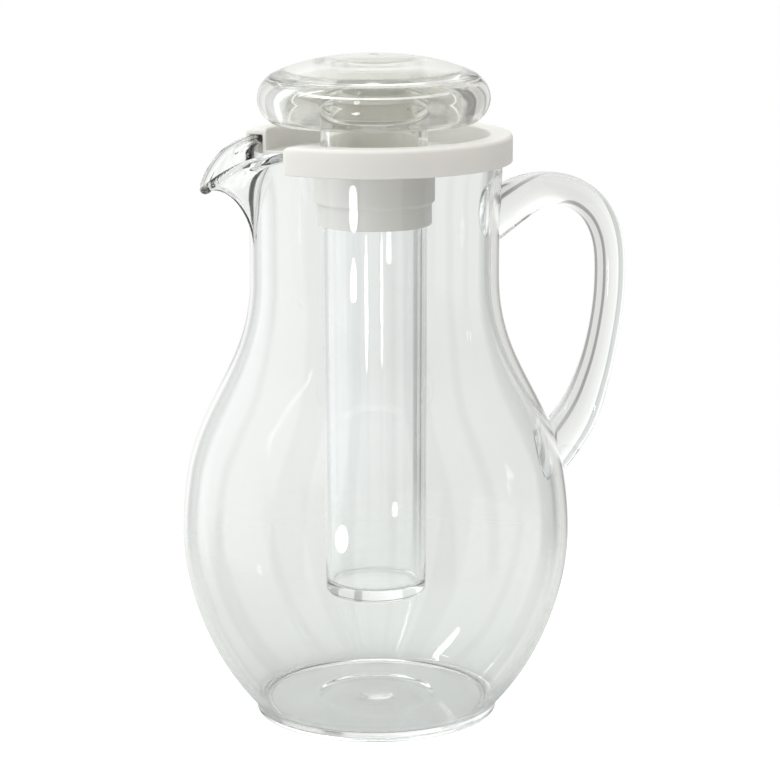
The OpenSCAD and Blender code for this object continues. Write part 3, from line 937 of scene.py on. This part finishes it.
def milky_silicone(name, tint):
    """Cast milky silicone: soft satin with a faint cloudiness in its gloss."""
    material, tree = new_material(name)
    place = add_node(tree, "ShaderNodeTexCoord").outputs["Object"]
    cloud = add_node(
        tree, "ShaderNodeTexNoise", links=[("Vector", place)], Scale=1 / (4 * MM), Detail=2.0)
    satin = add_node(
        tree, "ShaderNodeMapRange", links=[("Value", cloud.outputs["Fac"])],
        From_Min=0.3, From_Max=0.7, To_Min=0.4, To_Max=0.55)
    silicone = add_node(
        tree, "ShaderNodeBsdfPrincipled", links=[("Roughness", satin.outputs["Result"])],
        Base_Color=linear(tint), IOR=1.43, Subsurface_Weight=0.3,
        Subsurface_Radius=(1.0, 1.0, 0.9), Subsurface_Scale=1.5 * MM)
    add_node(tree, "ShaderNodeOutputMaterial", links=[("Surface", silicone.outputs[0])])
    return material


# Studio

# The floor starts to fade away at one distance from the axis, and is gone at its edge
FLOOR_R = 0.4
FLOOR_FADE = 0.1
FLOOR_DROP = 0.05 * MM
# Light added to the floor for the eye, which lifts it to white
FLOOR_LIFT = 0.6
# Light crosses a dozen clear surfaces, and runs along inside the thick ones
BOUNCES = 32


class PITCHER_OT_studio(bpy.types.Operator):
    """Sets the pale floor, the white surroundings, the lamps and the camera"""

    bl_idname = "pitcher.studio"
    bl_label = "Studio"

    def execute(self, context):
        scene = context.scene
        s = scene.pitcher_studio
        lay_floor(scene)
        white_surroundings(scene, s.facing)
        lamp(s, "left_high_strip", turn=-86, height=0.99, away=0.77, wide=0.09, tall=0.62, glow=9.0)
        lamp(
            s, "low_front_card", turn=-18, height=0.068, away=0.51, wide=0.06, tall=0.08, glow=9.0,
            aim=0.068)
        lamp(s, "right_low_strip", turn=91, height=0.262, away=0.99, wide=0.012, tall=0.07, glow=6.0)
        place_camera(scene, s)
        scene.view_settings.view_transform = "Standard"
        scene.cycles.max_bounces = scene.cycles.transmission_bounces = BOUNCES
        scene.cycles.glossy_bounces = scene.cycles.transparent_max_bounces = BOUNCES
        return {"FINISHED"}


def lay_floor(scene):
    """A round floor, just under the foot."""
    bm = bmesh.new()
    bmesh.ops.create_circle(bm, cap_ends=True, segments=96, radius=FLOOR_R)
    bmesh.ops.translate(bm, verts=bm.verts, vec=(0, 0, -FLOOR_DROP))
    mesh = bpy.data.meshes.new("pale_floor")
    bm.to_mesh(mesh)
    bm.free()
    floor = bpy.data.objects.new("pale_floor", mesh)
    scene.collection.objects.link(floor)
    mesh.materials.append(painted_floor("white_painted_floor", scene.pitcher_finish.floor))


def place_camera(scene, s):
    """A camera that stands to the lip's side of the front and looks down a little."""
    along = Vector((math.sin(s.facing), math.cos(s.facing), 0))
    right = Vector((along.y, -along.x, 0))
    forward = along * math.cos(s.pitch) - Vector((0, 0, math.sin(s.pitch)))
    data = bpy.data.cameras.new("camera")
    data.sensor_width = 36
    data.lens = s.lens
    data.clip_start = 0.05
    camera = bpy.data.objects.new("camera", data)
    turn = Matrix((right, right.cross(forward), -forward)).transposed().to_4x4()
    place = Matrix.Translation(right * s.aside - along * s.distance + Vector((0, 0, s.height)))
    camera.matrix_world = place @ turn @ Matrix.Rotation(s.roll, 4, "Z")
    scene.collection.objects.link(camera)
    scene.camera = camera


def lamp(s, name, turn, height, away, wide, tall, glow, aim=0.14):
    """A soft oval lamp that faces the jug's axis at the height aim. turn is in degrees from the
    camera's side, away is its level distance, and glow is how bright its face is beside white."""
    around = math.radians(turn) - s.facing
    place = Vector((math.sin(around) * away, -math.cos(around) * away, height))
    data = bpy.data.lights.new(name, "AREA")
    data.shape = "ELLIPSE"
    data.size, data.size_y = wide, tall
    data.energy = glow * math.pi * wide * tall * math.pi / 4
    box = bpy.data.objects.new(name, data)
    box.location = place
    box.rotation_euler = (place - Vector((0, 0, aim))).to_track_quat("Z", "Y").to_euler()
    box.visible_camera = False
    bpy.context.scene.collection.objects.link(box)


# Dark cards round the studio, as (from, to) in degrees left of the camera's view. They stand in
# every quarter of the circle, and give the thick clear walls their dark lines.
CARDS = ((-20, -12), (26, 48))
CARD_LIGHT = 0.4
QUARTER_START = -30
# Degrees over which a card's edge is soft, to each side of it
CARD_SOFT = 1
# How bright the studio's walls are in the plastic, beside the white that the eye sees: all round,
# added from overhead, and added by the big window on the left
ROOM_LIGHT = 0.73
OVERHEAD_LIGHT = 0.55
WINDOW_LIGHT = 0.56


def card_ring(tree, way, facing):
    """Light of the studio's walls all round, from 0 to 1, with the dark cards in each quarter."""
    parts = add_node(tree, "ShaderNodeSeparateXYZ", links=[("Vector", way)])
    around = add_node(
        tree, "ShaderNodeMath", {"operation": "ARCTAN2"},
        [(0, parts.outputs["Y"]), (1, parts.outputs["X"])])
    # Quarters of the circle as whole numbers, counted from the first quarter's start
    first = math.pi / 2 - facing + math.radians(QUARTER_START)
    quarters = add_node(
        tree, "ShaderNodeMapRange", {"clamp": False}, [("Value", around.outputs[0])],
        From_Min=first, From_Max=first + math.pi / 2)
    place = add_node(tree, "ShaderNodeMath", {"operation": "FLOORED_MODULO"}, [(0, quarters.outputs[0])])
    place.inputs[1].default_value = 1.0
    ramp = add_node(tree, "ShaderNodeValToRGB", links=[("Fac", place.outputs[0])])
    stops = ramp.color_ramp.elements
    stops[0].color = stops[1].color = (1, 1, 1, 1)
    for low, high in CARDS:
        for edge, outwards in ((low, -CARD_SOFT), (high, CARD_SOFT)):
            for turn, light in ((edge + outwards, 1), (edge - outwards, CARD_LIGHT)):
                stops.new((turn - QUARTER_START) / 90).color = (light, light, light, 1)
    return ramp.outputs["Color"]


def lobe(tree, way, facing, turn, rise, start, light):
    """Light that grows towards one side of the studio. turn is in degrees left of the view, rise
    is how steeply it looks up, and start is where it begins, from -1 at its back."""
    side = math.pi / 2 - facing + math.radians(turn)
    towards = add_node(tree, "ShaderNodeVectorMath", {"operation": "DOT_PRODUCT"}, [(0, way)])
    towards.inputs[1].default_value = Vector((math.cos(side), math.sin(side), rise)).normalized()
    grown = add_node(
        tree, "ShaderNodeMapRange", {"interpolation_type": "SMOOTHSTEP"},
        [("Value", towards.outputs["Value"])], From_Min=start, From_Max=1.0, To_Max=light)
    return grown.outputs["Result"]


def white_surroundings(scene, facing):
    """A white studio: pure white to the eye, with dark cards that only the plastic shows."""
    world = bpy.data.worlds.new("white_studio")
    world.use_nodes = True
    scene.world = world
    tree = world.node_tree
    tree.nodes.clear()
    way = add_node(tree, "ShaderNodeTexCoord").outputs["Generated"]
    cards = card_ring(tree, way, facing)
    window = lobe(tree, way, facing, turn=90, rise=0.3, start=-0.5, light=WINDOW_LIGHT)
    overhead = lobe(tree, way, facing, turn=0, rise=9.0, start=0.2, light=OVERHEAD_LIGHT)
    walls = add_node(tree, "ShaderNodeMath", {"operation": "MULTIPLY_ADD"}, [(0, cards), (2, window)])
    walls.inputs[1].default_value = ROOM_LIGHT
    room = add_node(tree, "ShaderNodeMath", {"operation": "ADD"}, [(0, walls.outputs[0]), (1, overhead)])
    path = add_node(tree, "ShaderNodeLightPath")
    seen = add_node(
        tree, "ShaderNodeMath", {"operation": "MAXIMUM"},
        [(0, room.outputs[0]), (1, path.outputs["Is Camera Ray"])])
    # The walls are faintly warm, and the window's and the overhead light faintly cool
    cool = add_node(tree, "ShaderNodeMath", {"operation": "MAXIMUM"}, [(0, window), (1, overhead)])
    shade = add_node(tree, "ShaderNodeMix", {"data_type": "RGBA"}, [("Factor", cool.outputs[0])])
    shade.inputs[6].default_value = linear("#FFFEFB")
    shade.inputs[7].default_value = linear("#F8FEFF")
    hue = add_node(
        tree, "ShaderNodeMix", {"data_type": "RGBA"},
        [("Factor", path.outputs["Is Camera Ray"]), (6, shade.outputs[2])])
    hue.inputs[7].default_value = linear("#FFFFFF")
    light = add_node(
        tree, "ShaderNodeBackground", links=[("Strength", seen.outputs[0]), ("Color", hue.outputs[2])])
    add_node(tree, "ShaderNodeOutputWorld", links=[("Surface", light.outputs[0])])


def painted_floor(name, tint):
    """A matt white painted table that fades away at its rim. To the eye it is lifted to white,
    and keeps its shadows."""
    material, tree = new_material(name)
    place = add_node(tree, "ShaderNodeTexCoord").outputs["Object"]
    cloud = add_node(tree, "ShaderNodeTexNoise", links=[("Vector", place)], Scale=3.0, Detail=2.0)
    rough = add_node(
        tree, "ShaderNodeMapRange", links=[("Value", cloud.outputs["Fac"])], To_Min=0.7, To_Max=0.9)
    paint = add_node(
        tree, "ShaderNodeBsdfPrincipled", links=[("Roughness", rough.outputs["Result"])],
        Base_Color=linear(tint), Specular_IOR_Level=0.2)
    path = add_node(tree, "ShaderNodeLightPath")
    lift = add_node(
        tree, "ShaderNodeMath", {"operation": "MULTIPLY"}, [(0, path.outputs["Is Camera Ray"])])
    lift.inputs[1].default_value = FLOOR_LIFT
    glow = add_node(tree, "ShaderNodeEmission", links=[("Strength", lift.outputs[0])])
    both = add_node(tree, "ShaderNodeAddShader", links=[(0, paint.outputs[0]), (1, glow.outputs[0])])
    far = add_node(tree, "ShaderNodeVectorMath", {"operation": "LENGTH"}, [(0, place)])
    fade = add_node(
        tree, "ShaderNodeMapRange", {"interpolation_type": "SMOOTHSTEP"}, [("Value", far.outputs["Value"])],
        From_Min=FLOOR_FADE, From_Max=FLOOR_R)
    clear = add_node(tree, "ShaderNodeBsdfTransparent")
    shown = add_node(
        tree, "ShaderNodeMixShader",
        links=[(0, fade.outputs["Result"]), (1, both.outputs[0]), (2, clear.outputs[0])])
    add_node(tree, "ShaderNodeOutputMaterial", links=[("Surface", shown.outputs[0])])
    return material


class PITCHER_PT_panel(bpy.types.Panel):
    """Sizes and finishes, with a button for each piece"""

    bl_idname = "PITCHER_PT_panel"
    bl_label = "Clear Pitcher"
    bl_space_type = "VIEW_3D"
    bl_region_type = "UI"
    bl_category = "Pitcher"

    def draw(self, context):
        for name in GROUPS:
            group = getattr(context.scene, name)
            box = self.layout.box()
            for key in group.__annotations__:
                box.prop(group, key)
        for operator in OPERATORS:
            self.layout.operator(operator.bl_idname)


GROUPS = {
    "pitcher_jug": JugSizes,
    "pitcher_lip": LipSizes,
    "pitcher_handle": HandleSizes,
    "pitcher_collar": CollarSizes,
    "pitcher_tube": TubeSizes,
    "pitcher_lid": LidSizes,
    "pitcher_finish": Finishes,
    "pitcher_studio": StudioSettings,
}
OPERATORS = (
    PITCHER_OT_studio,
    PITCHER_OT_jug,
    PITCHER_OT_handle,
    PITCHER_OT_collar,
    PITCHER_OT_ice_tube,
    PITCHER_OT_lid,
)


def register():
    for group in GROUPS.values():
        bpy.utils.register_class(group)
    for name, group in GROUPS.items():
        setattr(bpy.types.Scene, name, PointerProperty(type=group))
    for operator in OPERATORS:
        bpy.utils.register_class(operator)
    bpy.utils.register_class(PITCHER_PT_panel)


def unregister():
    bpy.utils.unregister_class(PITCHER_PT_panel)
    for operator in reversed(OPERATORS):
        bpy.utils.unregister_class(operator)
    for name in GROUPS:
        delattr(bpy.types.Scene, name)
    for group in reversed(GROUPS.values()):
        bpy.utils.unregister_class(group)


def main():
    register()
    bpy.ops.pitcher.studio()
    bpy.ops.pitcher.jug()
    bpy.ops.pitcher.handle()
    bpy.ops.pitcher.collar()
    bpy.ops.pitcher.ice_tube()
    bpy.ops.pitcher.lid()


if __name__ == "__main__":
    main()
